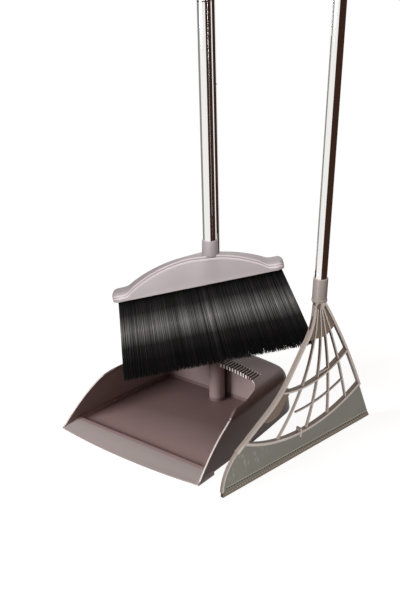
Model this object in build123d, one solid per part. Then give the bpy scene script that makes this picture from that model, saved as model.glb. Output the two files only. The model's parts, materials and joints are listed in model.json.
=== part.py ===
from build123d import *
import math
import os

# Dust pan, upright broom and floor squeegee, in millimetres.
# The origin lies on the dust pan pole's axis at floor level, +Z is up and the pan's mouth faces -Y.

# Fits
SOCKET_FIT = 0.1  # radial room of a pole in its socket
PLUG_FIT = 0.05  # radial room of a plug or spigot inside a tube
CLIP_RING_FIT = 0.05  # running room of the clip's ring on the dust pan's pole
CLIP_JAW_FIT = 0.08  # running room of the broom's pole in the clip's jaw
SEAT_FIT = 0.2  # room round the bristle block in its cover
BLADE_FIT = 0.1  # room beside the blade in the frame's slot

# Poles
POLE_RADIUS = 10.5
SQUEEGEE_POLE_RADIUS = 9.0
TUBE_WALL = 0.5
PLUG_LENGTH = 28.0
PLUG_FLANGE = 2.0
SPIGOT_LENGTH = 60.0
SEAM_RING = 1.2
DUSTPAN_LOWER_TUBE = 520.0
DUSTPAN_UPPER_TUBE = 265.0
BROOM_LOWER_TUBE = 400.0
BROOM_UPPER_TUBE = 240.0
SQUEEGEE_LOWER_TUBE = 400.0
SQUEEGEE_UPPER_TUBE = 240.0

# Grips, whose walls stand on the bore that takes the pole
GRIP_LENGTH = 112.0
GRIP_BORE_DEPTH = 76.0
GRIP_FOOT_WALL = 1.8
GRIP_BELLY_WALL = 3.6
GRIP_BELLY_FROM_FOOT = 37.0
GRIP_WAIST_WALL = 2.2
GRIP_END_ROUND = 8.0
GRIP_EAR_LENGTH = 28.0
GRIP_EAR_THICKNESS = 13.0
HANG_HOLE_RADIUS = 4.5
HANG_HOLE_FROM_END = 14.0

# Pan
PAN_MOUTH_WIDTH = 281.6
PAN_FRONT_Y = -225.0
PAN_FRONT_BOW = 8.0
PAN_SIDE_BOW = 4.3
PAN_REAR_WIDTH = 244.0
PAN_REAR_Y = 55.0
PAN_REAR_BOW = 17.5
PAN_CORNER_RADIUS = 48.0
PAN_HEIGHT = 73.0
PAN_DRAFT = 6.0
PAN_WALL = 2.5
PAN_FLOOR = 3.0
PAN_DECK = 2.6
PAN_TOP_ROUND = 16.0
PAN_FLOOR_ROUND = 2.5
PAN_FOOT_CHAMFER = 5.0
FOOT_SLOPE = 45.0
BACK_WALL_Y = 18.0
HOOD_FOOT_FLANGE = 9.0

# Ramp at the mouth
RAMP_LIP = 0.9
RAMP_RUN = 36.0
RAMP_RIDGE = 8.5
RAMP_RIDGE_RUN = 8.0
RAMP_DROP_RUN = 2.0
RAMP_WALL = 2.4
RAMP_END_WALL = 9.0

# Side walls' climbing edge, from the lip to the hood
RIM_RUN = 139.0
RIM_START_RUN = 42.0
RIM_START_RISE = 42.0
RIM_END_RUN = 50.0

# Hood opening, comb and post
OPENING_SIDE_MARGIN = 17.8
OPENING_SHOULDER_TAPER = 15.0
OPENING_OVERHANG = 23.0
OPENING_BOW = 22.0
OPENING_ROUND = 60.0
OPENING_BEND = 120.0
COMB_SLOTS = 12
COMB_FIRST_X = 17.5
COMB_PITCH = 6.4
COMB_SLOT_WIDTH = 3.2
COMB_SLOT_LENGTH = 21.0
COMB_DEPTH = 6.0
POST_WALL = 2.4
POST_TOP = 126.0
POST_FLOOR = 6.0
POST_RIM_WALL = 4.0
POST_RIM_HEIGHT = 12.0
POST_WEB_WIDTH = 17.0

# Clip and the broom's place in it
CLIP_BELOW_GRIP = 4.2
CLIP_HEIGHT = 28.0
CLIP_WALL = 3.4
CLIP_WEB_WIDTH = 13.0
CLIP_JAW_MOUTH = 15.0
BROOM_POLE_X = 20.2
BROOM_POLE_Y = -34.8
BROOM_TURN = 39.43  # plan angle of the broom head's long axis from +X
BROOM_ROLL = 10.5  # the head's right end stands higher
BROOM_OVER_HOOD = 28.3  # height of the bristles' tips over the hood, at the pole

# Broom head, in a frame with x along the head, -y its front and z up, from the middle of its lower face
HEAD_POLE_OFFSET = 19.0
HEAD_LENGTH = 271.0
HEAD_ARCH_HEIGHT = 43.5
HEAD_LOBE_LENGTH = 23.5
HEAD_LOBE_HEIGHT = 11.5
HEAD_LOBE_ROUND = 6.0
HEAD_OGEE_ROUND = 25.0
HEAD_FOOT_THICKNESS = 38.0
HEAD_TOP_THICKNESS = 19.0
HEAD_WALL = 2.6
HEAD_SOCKET_HEIGHT = 66.7
HEAD_SOCKET_FLOOR = 14.7
HEAD_SOCKET_TOP_WALL = 1.3
HEAD_SOCKET_FOOT_WALL = 2.6
BLOCK_END_WALL = 6.5
BLOCK_SIDE_WALL = 3.5
BLOCK_HEIGHT = 7.0

# Bristles
BRISTLE_COLUMNS = 76
BRISTLE_ROWS = 5
BRISTLE_LENGTH = 131.0
BRISTLE_END_MARGIN = 3.0
BRISTLE_SIDE_MARGIN = 3.5
BRISTLE_END_FLARE = 29.5
BRISTLE_SIDE_FLARE = 8.0
BRISTLE_WIDTH = 1.6
BRISTLE_SLICE = 2.0

# Squeegee, in a plane with x along the blade from under the pole and z up along the pole
SQUEEGEE_FROM_PAN = 69.5
SQUEEGEE_Y = -41.0
SQUEEGEE_TURN = 82.26  # plan angle of the blade from +X
SQUEEGEE_LEAN = 3.2  # the pole's top leans towards +X
BLADE_LEFT = 188.0
BLADE_RIGHT = 146.5
BLADE_LEFT_BULGE = (-176.5, 45.5)
BLADE_THICKNESS = 3.0
BLADE_LIP_THICKNESS = 4.6
BLADE_LIP_HEIGHT = 7.0
BLADE_EDGE_WIDTH = 3.4
BLADE_EDGE_DEPTH = 4.6
BLADE_EDGE_FOOT = 8.6
RIM_LEFT = (-146.0, 71.0)
RIM_LOW = (-11.0, 40.2)
RIM_RIGHT = (111.2, 72.7)
RIM_WIDTH = 4.2
RIM_DEPTH = 7.4
NECK_Z = 247.4
NECK_HEIGHT = 11.0
NECK_FOOT_RADIUS = 7.0
NECK_STUD_HEIGHT = 12.0
COLLAR_WALL = 1.6
COLLAR_HEIGHT = 35.7
COLLAR_RING_WALL = 2.3
COLLAR_RING_HEIGHT = 3.5

# Squeegee's fan frame, whose members and spokes spread from under the neck
MEMBER_DROP = 4.0
MEMBER_DEPTH = 5.6
LEFT_MEMBER_TOP_X = -9.0
LEFT_MEMBER_KNEE = (-11.0, 209.0)
LEFT_MEMBER_ELBOW = (-75.0, 117.0)
LEFT_MEMBER_BENDS = [70.0, 160.0, 60.0]
LEFT_MEMBER_OVERLAP = 0.2  # share of the blade's left edge that the member runs on along
LEFT_MEMBER_WIDTH = 5.4
RIGHT_MEMBER_TOP_X = 9.5
RIGHT_MEMBER_MIDDLE = (58.0, 170.0)
RIGHT_MEMBER_FOOT = (114.0, 68.0)
RIGHT_MEMBER_WIDTH = 4.2
SPOKE_DROP = 9.0
SPOKE_TOPS = [-3.8, 0.3, 3.3, 5.8]
SPOKE_MIDDLES = [(-26.0, 119.6), (7.4, 120.1), (31.5, 124.9), (53.7, 135.1)]
SPOKE_FEET = [-77.3, -11.6, 37.5, 80.3]
SPOKE_WIDTH = 2.6
SPOKE_DEPTH = 4.0
UPPER_ARC = [(-69.0, 123.5), (7.4, 119.9), (72.0, 146.0)]
UPPER_ARC_WIDTH = 2.8
UPPER_ARC_DEPTH = 9.0
LOWER_ARC = [(-38.6, 78.7), (6.8, 80.3), (68.0, 96.2)]
LOWER_ARC_WIDTH = 2.2
LOWER_ARC_DEPTH = 3.4
TIE_BAR = [(7.2, 126.4), (31.0, 127.5)]
WEB_DROP = 6.0
WEB_FOOT = [(-22.0, 189.8), (19.5, 184.9), (41.0, 197.0)]
GUSSET_OUTLINE = [(-70.5, 124.5), (-53.4, 122.0), (-62.5, 105.8), (-78.7, 88.4), (-93.8, 84.7), (-111.8, 93.5)]
PLATE_THICKNESS = 2.2
TAB_X = -27.0
TAB_WIDTH = 3.2
TAB_HEIGHT = 15.0
TAB_DEPTH = 9.0

# Sizes and places that follow from the ones above
SOCKET_BORE = POLE_RADIUS + SOCKET_FIT
SQUEEGEE_BORE = SQUEEGEE_POLE_RADIUS + SOCKET_FIT
POST_RADIUS = SOCKET_BORE + POST_WALL
COLLAR_RADIUS = SQUEEGEE_BORE + COLLAR_WALL
LIP_Y = PAN_FRONT_Y - PAN_FRONT_BOW
RAMP_BACK_Y = LIP_Y + RAMP_RUN + RAMP_RIDGE_RUN + RAMP_DROP_RUN
RIM_TOP_Y = PAN_FRONT_Y + RIM_RUN
OPENING_HALF_WIDTH = PAN_MOUTH_WIDTH / 2 - OPENING_SIDE_MARGIN
OPENING_SHOULDER_X = OPENING_HALF_WIDTH - OPENING_SHOULDER_TAPER
OPENING_CENTRE_Y = BACK_WALL_Y - OPENING_OVERHANG
HEAD_FOOT_Z = PAN_HEIGHT + BROOM_OVER_HOOD + BRISTLE_LENGTH
HEAD_SOCKET_Z = HEAD_FOOT_Z + HEAD_SOCKET_FLOOR
BLOCK_LENGTH = HEAD_LENGTH - 2 * BLOCK_END_WALL
BLOCK_THICKNESS = HEAD_FOOT_THICKNESS - 2 * BLOCK_SIDE_WALL
STUD_TOP = NECK_Z + NECK_STUD_HEIGHT
MEMBER_TOP_Z = NECK_Z - MEMBER_DROP
LEFT_MEMBER_TOP = (LEFT_MEMBER_TOP_X, MEMBER_TOP_Z)
RIGHT_MEMBER_TOP = (RIGHT_MEMBER_TOP_X, MEMBER_TOP_Z)

BROOM_POLE = Plane(origin=(BROOM_POLE_X, BROOM_POLE_Y, 0))
TURN = math.radians(SQUEEGEE_TURN)
LEAN = math.radians(SQUEEGEE_LEAN)
SQUEEGEE_PLANE = Plane(
    origin=(PAN_MOUTH_WIDTH / 2 + SQUEEGEE_FROM_PAN, SQUEEGEE_Y, BLADE_LIP_THICKNESS / 2 * math.sin(LEAN)),
    x_dir=(math.cos(TURN), math.sin(TURN), 0),
    z_dir=(math.sin(LEAN) * math.sin(TURN), -math.sin(LEAN) * math.cos(TURN), math.cos(LEAN)),
)


def pillar(radius, low, high):
    """A round pillar on the Z axis from one height to another."""
    return Pos(0, 0, low) * Cylinder(radius, high - low, align=(Align.CENTER, Align.CENTER, Align.MIN))


def cone(foot_radius, top_radius, low, high):
    """A round taper on the Z axis from one height to another."""
    align = (Align.CENTER, Align.CENTER, Align.MIN)
    return Pos(0, 0, low) * Cone(foot_radius, top_radius, high - low, align=align)


def slab(low, high):
    """A box between two corners."""
    size = [b - a for a, b in zip(low, high)]
    return Pos(*low) * Box(*size, align=(Align.MIN, Align.MIN, Align.MIN))


def standing(face, depth):
    """A plate drawn in the XZ plane and thickened evenly to both sides."""
    return extrude(Plane.XZ * face, amount=depth / 2, both=True)


def pole_top(foot, lower_length, upper_length):
    """Height of a pole's upper end above the same datum as its foot."""
    return foot + PLUG_FLANGE + lower_length + SEAM_RING + upper_length


def pole_pieces(radius, foot, lower_length, upper_length):
    """The plug, tubes, spigot and grip of a pole whose plug stands at the given height on the Z axis."""
    bore = radius - TUBE_WALL
    core = bore - PLUG_FIT
    lower_foot = foot + PLUG_FLANGE
    seam = lower_foot + lower_length
    upper_foot = seam + SEAM_RING
    top = pole_top(foot, lower_length, upper_length)
    plug = pillar(radius, foot, lower_foot) + pillar(core, foot, lower_foot + PLUG_LENGTH)
    spigot = pillar(core, seam - SPIGOT_LENGTH / 2, upper_foot + SPIGOT_LENGTH / 2)
    spigot += pillar(radius, seam, upper_foot)
    return {
        "pole_plug": plug,
        "pole_lower": pillar(radius, lower_foot, seam) - pillar(bore, lower_foot, seam),
        "pole_spigot": spigot,
        "pole_upper": pillar(radius, upper_foot, top) - pillar(bore, upper_foot, top),
        "grip": grip(radius + SOCKET_FIT, top),
    }


def grip(bore, top):
    """A swelling grip over the pole's end, with a flat ear and a hanging hole across it."""
    foot = top - GRIP_BORE_DEPTH
    end = foot + GRIP_LENGTH
    ear = end - GRIP_EAR_LENGTH
    foot_radius = bore + GRIP_FOOT_WALL
    belly_radius = bore + GRIP_BELLY_WALL
    waist_radius = bore + GRIP_WAIST_WALL
    shoulder = (waist_radius, end - GRIP_END_ROUND)
    crown = (waist_radius - GRIP_END_ROUND, end)
    outline = [
        Line((0, foot), (foot_radius, foot)),
        Spline((foot_radius, foot), (belly_radius, foot + GRIP_BELLY_FROM_FOOT), (waist_radius, ear)),
        Line((waist_radius, ear), shoulder),
        RadiusArc(shoulder, crown, -GRIP_END_ROUND),
        Line(crown, (0, end)),
        Line((0, end), (0, foot)),
    ]
    body = revolve(Plane.XZ * make_face(outline), Axis.Z)
    reach = 2 * belly_radius
    flat = slab((-reach, GRIP_EAR_THICKNESS / 2, ear), (reach, reach, end))
    body -= flat
    body -= mirror(flat, Plane.XZ)
    body -= pillar(bore, foot, top)
    hole = Rot(90, 0, 0) * Cylinder(HANG_HOLE_RADIUS, 2 * reach)
    return body - Pos(0, 0, end - HANG_HOLE_FROM_END) * hole


def pan_plan():
    """The pan's plan: a bowed mouth, sides and rear, and rounded rear corners."""
    mouth = PAN_MOUTH_WIDTH / 2
    rear = PAN_REAR_WIDTH / 2
    middle_x = (mouth + rear) / 2 + PAN_SIDE_BOW
    middle_y = (PAN_FRONT_Y + PAN_REAR_Y) / 2
    edges = [
        ThreePointArc((-mouth, PAN_FRONT_Y), (0, LIP_Y), (mouth, PAN_FRONT_Y)),
        ThreePointArc((mouth, PAN_FRONT_Y), (middle_x, middle_y), (rear, PAN_REAR_Y)),
        ThreePointArc((rear, PAN_REAR_Y), (0, PAN_REAR_Y + PAN_REAR_BOW), (-rear, PAN_REAR_Y)),
        ThreePointArc((-rear, PAN_REAR_Y), (-middle_x, middle_y), (-mouth, PAN_FRONT_Y)),
    ]
    plan = make_face(edges)
    return fillet(plan.vertices().sort_by(Axis.Y)[-2:], PAN_CORNER_RADIUS)


def pan_block(inset, low, high, top_round):
    """The pan's outer form drawn in by an inset, with drafted sides and rounded upper edges."""
    plan = pan_plan()
    if inset:
        plan = offset(plan, amount=-inset, kind=Kind.INTERSECTION)
    block = Pos(0, 0, low) * extrude(plan, amount=high - low, taper=PAN_DRAFT)
    return fillet(block.edges().group_by(Axis.Z)[-1].sort_by(Axis.Y)[1:], top_round)


def ramp():
    """The lip at the mouth: a slope up to a ridge and a drop to the tray's floor, hollow below between its ends."""
    half = PAN_MOUTH_WIDTH / 2
    slope_end = LIP_Y + RAMP_RUN
    ridge_end = slope_end + RAMP_RIDGE_RUN
    under = RAMP_RIDGE - RAMP_WALL
    slope = [(LIP_Y, 0), (LIP_Y, RAMP_LIP), (slope_end, RAMP_RIDGE)]
    drop = [(ridge_end, RAMP_RIDGE), (RAMP_BACK_Y, PAN_FLOOR), (RAMP_BACK_Y, 0)]
    wedge = extrude(Plane.YZ * make_face(Polyline(*slope, *drop, close=True)), amount=half, both=True)
    underside = [(LIP_Y + RAMP_WALL, 0), (slope_end, under), (ridge_end, under), (ridge_end, 0)]
    hollow = Plane.YZ * make_face(Polyline(*underside, close=True))
    wedge -= extrude(hollow, amount=half - RAMP_END_WALL, both=True)
    return wedge & extrude(pan_plan(), amount=PAN_HEIGHT)


def rim_cut():
    """The space above the side walls' climbing edges, from the lip to the hood."""
    start = (PAN_FRONT_Y, RAMP_LIP)
    start_handle = (start[0] + RIM_START_RUN, start[1] + RIM_START_RISE)
    finish = (RIM_TOP_Y, PAN_HEIGHT)
    finish_handle = (finish[0] - RIM_END_RUN, finish[1])
    front = LIP_Y - PAN_WALL
    above = PAN_HEIGHT + PAN_WALL
    edges = [
        Bezier(start, start_handle, finish_handle, finish),
        Polyline(finish, (finish[0], above), (front, above), (front, start[1]), start),
    ]
    return extrude(Plane.YZ * make_face(edges), amount=PAN_MOUTH_WIDTH, both=True)


def opening_edge_y(x):
    """Plan line of the hood's bowed front edge."""
    radius = (OPENING_SHOULDER_X**2 + OPENING_BOW**2) / (2 * OPENING_BOW)
    return OPENING_CENTRE_Y - radius + math.sqrt(radius**2 - x**2)


def opening_cut():
    """The U-shaped opening in the hood's deck, in front of its bowed edge."""
    shoulder = OPENING_SHOULDER_X
    shoulder_y = opening_edge_y(shoulder)
    half = OPENING_HALF_WIDTH
    front = LIP_Y - PAN_WALL
    edges = [
        ThreePointArc((-shoulder, shoulder_y), (0, OPENING_CENTRE_Y), (shoulder, shoulder_y)),
        Line((shoulder, shoulder_y), (half, RIM_TOP_Y)),
        Polyline((half, RIM_TOP_Y), (half, front), (-half, front), (-half, RIM_TOP_Y)),
        Line((-half, RIM_TOP_Y), (-shoulder, shoulder_y)),
    ]
    face = make_face(edges)
    face = fillet(face.vertices().sort_by(Axis.Y)[-2:], OPENING_ROUND)
    bends = [face.vertices().sort_by_distance((side, RIM_TOP_Y))[0] for side in (-half, half)]
    face = fillet(bends, OPENING_BEND)
    low = PAN_HEIGHT - PAN_DECK - PAN_TOP_ROUND
    return Pos(0, 0, low) * extrude(face, amount=PAN_HEIGHT)


def comb_band():
    """The thick band along the hood's front edge that the comb slots are cut in."""
    reach = COMB_FIRST_X + COMB_SLOTS * COMB_PITCH
    edge_y = opening_edge_y(reach)
    edges = [
        ThreePointArc((-reach, edge_y), (0, OPENING_CENTRE_Y), (reach, edge_y)),
        Polyline((reach, edge_y), (reach, BACK_WALL_Y), (-reach, BACK_WALL_Y), (-reach, edge_y)),
    ]
    return Pos(0, 0, PAN_HEIGHT - COMB_DEPTH) * extrude(make_face(edges), amount=COMB_DEPTH)


def comb_slots():
    """Two mirrored rows of round-ended slots that leave the comb's teeth standing."""
    slot = SlotOverall(2 * COMB_SLOT_LENGTH, COMB_SLOT_WIDTH, rotation=90)
    slots = []
    for index in range(COMB_SLOTS):
        x = COMB_FIRST_X + index * COMB_PITCH
        slots += [Pos(side, opening_edge_y(x)) * slot for side in (-x, x)]
    low = PAN_HEIGHT - COMB_DEPTH - PAN_DECK
    return Pos(0, 0, low) * extrude(Sketch() + slots, amount=COMB_DEPTH + 2 * PAN_DECK)


def pan_hollows():
    """The tray's inside, rounded along its floor, and the hood's inside behind the back wall, open below."""
    wide = PAN_MOUTH_WIDTH
    inner = pan_block(PAN_WALL, PAN_FLOOR, PAN_HEIGHT - PAN_DECK, PAN_TOP_ROUND - PAN_WALL)
    tray = inner - slab((-wide, BACK_WALL_Y, 0), (wide, wide, PAN_HEIGHT))
    floor_sides = tray.edges().group_by(Axis.Z)[0].sort_by(Axis.X)
    tray = fillet([floor_sides[0], floor_sides[-1]], PAN_FLOOR_ROUND)
    in_front = slab((-wide, -wide, 0), (wide, BACK_WALL_Y + PAN_WALL, PAN_HEIGHT))
    foot = extrude(offset(pan_plan(), amount=-HOOD_FOOT_FLANGE, kind=Kind.INTERSECTION), amount=PAN_FLOOR)
    return [tray, inner - in_front, foot - in_front]


def pan_tray():
    """The moulded pan with its ramp, walls, hood, comb and the post that takes the pole."""
    wide = PAN_MOUTH_WIDTH
    shell = pan_block(0, PAN_FOOT_CHAMFER, PAN_HEIGHT, PAN_TOP_ROUND)
    foot_plan = offset(pan_plan(), amount=-PAN_FOOT_CHAMFER, kind=Kind.INTERSECTION)
    shell += extrude(foot_plan, amount=PAN_FOOT_CHAMFER, taper=-FOOT_SLOPE)
    for hollow in pan_hollows():
        shell -= hollow
    shell += comb_band()
    shell -= opening_cut()
    shell -= rim_cut()
    shell -= slab((-wide, LIP_Y - PAN_WALL, -PAN_FLOOR), (wide, RAMP_BACK_Y, PAN_FLOOR))
    mouth = wide / 2 - PAN_WALL
    shell -= slab((-mouth, LIP_Y - PAN_WALL, 0), (mouth, PAN_FRONT_Y + 2 * PAN_WALL, PAN_HEIGHT))
    shell += ramp()
    shell -= comb_slots()
    web = slab((-POST_WEB_WIDTH / 2, 0, 0), (POST_WEB_WIDTH / 2, BACK_WALL_Y + PAN_WALL, PAN_HEIGHT))
    post = pillar(POST_RADIUS, 0, POST_TOP)
    post += pillar(SOCKET_BORE + POST_RIM_WALL, POST_TOP - POST_RIM_HEIGHT, POST_TOP)
    return shell + web + post - pillar(SOCKET_BORE, POST_FLOOR, POST_TOP)


def pole_clip():
    """A ring on the dust pan's pole with a spring jaw, open away from it, for the broom's pole."""
    reach = math.hypot(BROOM_POLE_X, BROOM_POLE_Y)
    angle = math.degrees(math.atan2(BROOM_POLE_Y, BROOM_POLE_X))
    ring_bore = POLE_RADIUS + CLIP_RING_FIT
    jaw_bore = POLE_RADIUS + CLIP_JAW_FIT
    flat = Circle(ring_bore + CLIP_WALL) + Pos(reach, 0) * Circle(jaw_bore + CLIP_WALL)
    flat += Pos(reach / 2, 0) * Rectangle(reach, CLIP_WEB_WIDTH)
    flat -= Circle(ring_bore)
    flat -= Pos(reach, 0) * Circle(jaw_bore)
    flat -= Pos(reach + jaw_bore, 0) * Rectangle(2 * jaw_bore, CLIP_JAW_MOUTH)
    grip_foot = pole_top(POST_FLOOR, DUSTPAN_LOWER_TUBE, DUSTPAN_UPPER_TUBE) - GRIP_BORE_DEPTH
    bottom = grip_foot - CLIP_BELOW_GRIP - CLIP_HEIGHT
    return Pos(0, 0, bottom) * Rot(0, 0, angle) * extrude(flat, amount=CLIP_HEIGHT)


def head_frame():
    """The broom head's own frame, from the middle of its lower face."""
    turn = math.radians(BROOM_TURN)
    roll = math.radians(BROOM_ROLL)
    along = Vector(math.cos(turn) * math.cos(roll), math.sin(turn) * math.cos(roll), math.sin(roll))
    up = Vector(-math.cos(turn) * math.sin(roll), -math.sin(turn) * math.sin(roll), math.cos(roll))
    under_pole = Vector(BROOM_POLE_X, BROOM_POLE_Y, HEAD_FOOT_Z)
    return Plane(origin=under_pole - along * HEAD_POLE_OFFSET, x_dir=along, z_dir=up)


def head_outline(inset):
    """The head's front outline: an arch that runs out in an ogee to a lobe at each end."""
    half = HEAD_LENGTH / 2
    span = half - HEAD_LOBE_LENGTH
    lobe = HEAD_LOBE_HEIGHT
    edges = [
        ThreePointArc((-span, lobe), (0, HEAD_ARCH_HEIGHT), (span, lobe)),
        Polyline((span, lobe), (half, lobe), (half, -lobe), (-half, -lobe), (-half, lobe), (-span, lobe)),
    ]
    face = make_face(edges)
    face = fillet(face.vertices().sort_by(lambda corner: abs(corner.X))[:2], HEAD_OGEE_ROUND)
    ends = face.vertices().sort_by(lambda corner: abs(corner.X))[-4:]
    face = fillet(ends.sort_by(Axis.Y)[-2:], HEAD_LOBE_ROUND)
    if inset:
        face = offset(face, amount=-inset, kind=Kind.INTERSECTION)
    return face


def head_wedge(inset):
    """The head's form drawn in by an inset: its front outline, thick along the foot and thin along the top."""
    foot = HEAD_FOOT_THICKNESS / 2 - inset
    top = HEAD_TOP_THICKNESS / 2 - inset
    section = Polyline((-foot, 0), (foot, 0), (top, HEAD_ARCH_HEIGHT), (-top, HEAD_ARCH_HEIGHT), close=True)
    bar = extrude(Plane.YZ * make_face(section), amount=HEAD_LENGTH, both=True)
    return bar & standing(head_outline(inset), HEAD_FOOT_THICKNESS)


def head_cover():
    """The arched cover, hollow above the bristle block's seat, with lobed ends and the pole socket."""
    above_block = slab((-HEAD_LENGTH, -HEAD_LENGTH, BLOCK_HEIGHT), (HEAD_LENGTH, HEAD_LENGTH, HEAD_LENGTH))
    seat_x = BLOCK_LENGTH / 2 + SEAT_FIT
    seat_y = BLOCK_THICKNESS / 2 + SEAT_FIT
    hollow = head_wedge(HEAD_WALL) & above_block
    hollow += slab((-seat_x, -seat_y, 0), (seat_x, seat_y, BLOCK_HEIGHT))
    socket_top = HEAD_FOOT_Z + HEAD_SOCKET_HEIGHT
    foot_radius = SOCKET_BORE + HEAD_SOCKET_FOOT_WALL
    socket = cone(foot_radius, SOCKET_BORE + HEAD_SOCKET_TOP_WALL, HEAD_FOOT_Z, socket_top)
    frame = head_frame()
    cover = frame * head_wedge(0) - frame * hollow
    cover += BROOM_POLE * socket & frame * above_block
    return cover - BROOM_POLE * pillar(SOCKET_BORE, HEAD_SOCKET_Z, socket_top)


def block_slice(low, high):
    """A layer of the bristle block between two heights of the head's frame."""
    half_x = BLOCK_LENGTH / 2
    half_y = BLOCK_THICKNESS / 2
    return slab((-half_x, -half_y, low), (half_x, half_y, high))


def bristle_block():
    """The block in the cover's lower face."""
    return head_frame() * block_slice(0, BLOCK_HEIGHT)


def bristles():
    """Flared four-sided strands, in rows and columns, fused to a slice of their backing."""
    root_x = BLOCK_LENGTH / 2 - BRISTLE_END_MARGIN
    root_y = BLOCK_THICKNESS / 2 - BRISTLE_SIDE_MARGIN
    root_z = -BRISTLE_SLICE / 2
    strands = []
    for column in range(BRISTLE_COLUMNS):
        u = 2 * column / (BRISTLE_COLUMNS - 1) - 1
        for row in range(BRISTLE_ROWS):
            v = 2 * row / (BRISTLE_ROWS - 1) - 1
            foot = Pos(u * root_x, v * root_y, root_z) * Rectangle(BRISTLE_WIDTH, BRISTLE_WIDTH)
            lean = Vector(u * BRISTLE_END_FLARE, v * BRISTLE_SIDE_FLARE, -BRISTLE_LENGTH - root_z)
            strands.append(Solid.extrude(foot.face(), lean))
    return head_frame() * block_slice(-BRISTLE_SLICE, 0).solid().fuse(*strands)


def rib(points, width, depth):
    """A rib along a line or arc through the points."""
    line = ThreePointArc(*points) if len(points) == 3 else Line(*points)
    return standing(trace(line, width), depth)


def rim_arc():
    """The line of the frame's rim and of the blade's upper edge."""
    return ThreePointArc(RIM_LEFT, RIM_LOW, RIM_RIGHT)


def rim_point(x):
    """The rim's point at a place along the blade."""
    centre = rim_arc().arc_center
    return (x, centre.Y - math.sqrt(rim_arc().radius ** 2 - (x - centre.X) ** 2))


def blade_edge():
    """The bowed line of the blade's left edge, from the rim down."""
    return ThreePointArc(RIM_LEFT, BLADE_LEFT_BULGE, (-BLADE_LEFT, 0))


def blade_face():
    """The blade's outline, from its straight lower edge up to the rim."""
    return make_face(
        [
            rim_arc(),
            Line(RIM_RIGHT, (BLADE_RIGHT, 0)),
            Line((BLADE_RIGHT, 0), (-BLADE_LEFT, 0)),
            blade_edge(),
        ]
    )


def squeegee_blade():
    """The silicone blade with a thicker lip along its lower edge."""
    plate = standing(blade_face(), BLADE_THICKNESS)
    lip_zone = slab((-BLADE_LEFT, -BLADE_LEFT, 0), (BLADE_RIGHT, BLADE_LEFT, BLADE_LIP_HEIGHT))
    return SQUEEGEE_PLANE * (plate + (standing(blade_face(), BLADE_LIP_THICKNESS) & lip_zone))


def fan_ribs():
    """The frame's outer members, spokes, arcs and tie bar, as ribs in one plane."""
    left_foot = blade_edge() @ LEFT_MEMBER_OVERLAP
    left_run = [LEFT_MEMBER_TOP, LEFT_MEMBER_KNEE, LEFT_MEMBER_ELBOW, RIM_LEFT, left_foot]
    left_line = FilletPolyline(*left_run, radius=LEFT_MEMBER_BENDS)
    edge_line = blade_edge().trim_to_length(0, blade_edge().length - BLADE_EDGE_FOOT)
    ribs = [
        standing(trace(left_line, LEFT_MEMBER_WIDTH), MEMBER_DEPTH),
        standing(trace(edge_line, BLADE_EDGE_WIDTH), BLADE_EDGE_DEPTH),
        rib([RIGHT_MEMBER_TOP, RIGHT_MEMBER_MIDDLE, RIGHT_MEMBER_FOOT], RIGHT_MEMBER_WIDTH, MEMBER_DEPTH),
    ]
    for top_x, middle, foot_x in zip(SPOKE_TOPS, SPOKE_MIDDLES, SPOKE_FEET):
        ribs.append(rib([(top_x, NECK_Z - SPOKE_DROP), middle, rim_point(foot_x)], SPOKE_WIDTH, SPOKE_DEPTH))
    ribs.append(rib(UPPER_ARC, UPPER_ARC_WIDTH, UPPER_ARC_DEPTH))
    ribs.append(rib(LOWER_ARC, LOWER_ARC_WIDTH, LOWER_ARC_DEPTH))
    ribs.append(rib(TIE_BAR, LOWER_ARC_WIDTH, LOWER_ARC_DEPTH))
    return ribs


def squeegee_frame():
    """The fan frame: ribs, web, gusset, rim with a tab, a slot for the blade, and the neck with its stud."""
    frame = standing(trace(rim_arc(), RIM_WIDTH), RIM_DEPTH)
    for fan_rib in fan_ribs():
        frame += fan_rib
    web_top = NECK_Z - WEB_DROP
    web = Polyline((LEFT_MEMBER_TOP_X, web_top), *WEB_FOOT, (RIGHT_MEMBER_TOP_X, web_top), close=True)
    frame += standing(make_face(web), PLATE_THICKNESS)
    gusset = [Spline(*GUSSET_OUTLINE), Line(GUSSET_OUTLINE[-1], GUSSET_OUTLINE[0])]
    frame += standing(make_face(gusset), PLATE_THICKNESS)
    frame += Pos(TAB_X, 0, rim_point(TAB_X)[1]) * Box(TAB_WIDTH, TAB_DEPTH, TAB_HEIGHT)
    frame -= standing(blade_face(), BLADE_THICKNESS + 2 * BLADE_FIT)
    frame += cone(NECK_FOOT_RADIUS, COLLAR_RADIUS, NECK_Z - NECK_HEIGHT, NECK_Z)
    frame += pillar(SQUEEGEE_POLE_RADIUS, NECK_Z, STUD_TOP)
    return SQUEEGEE_PLANE * frame


def squeegee_collar():
    """The sleeve over the neck's stud and the pole's foot, with a ring at its lower end."""
    top = NECK_Z + COLLAR_HEIGHT
    sleeve = pillar(COLLAR_RADIUS, NECK_Z, top)
    sleeve += pillar(SQUEEGEE_BORE + COLLAR_RING_WALL, NECK_Z, NECK_Z + COLLAR_RING_HEIGHT)
    return SQUEEGEE_PLANE * (sleeve - pillar(SQUEEGEE_BORE, NECK_Z, top))


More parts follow.
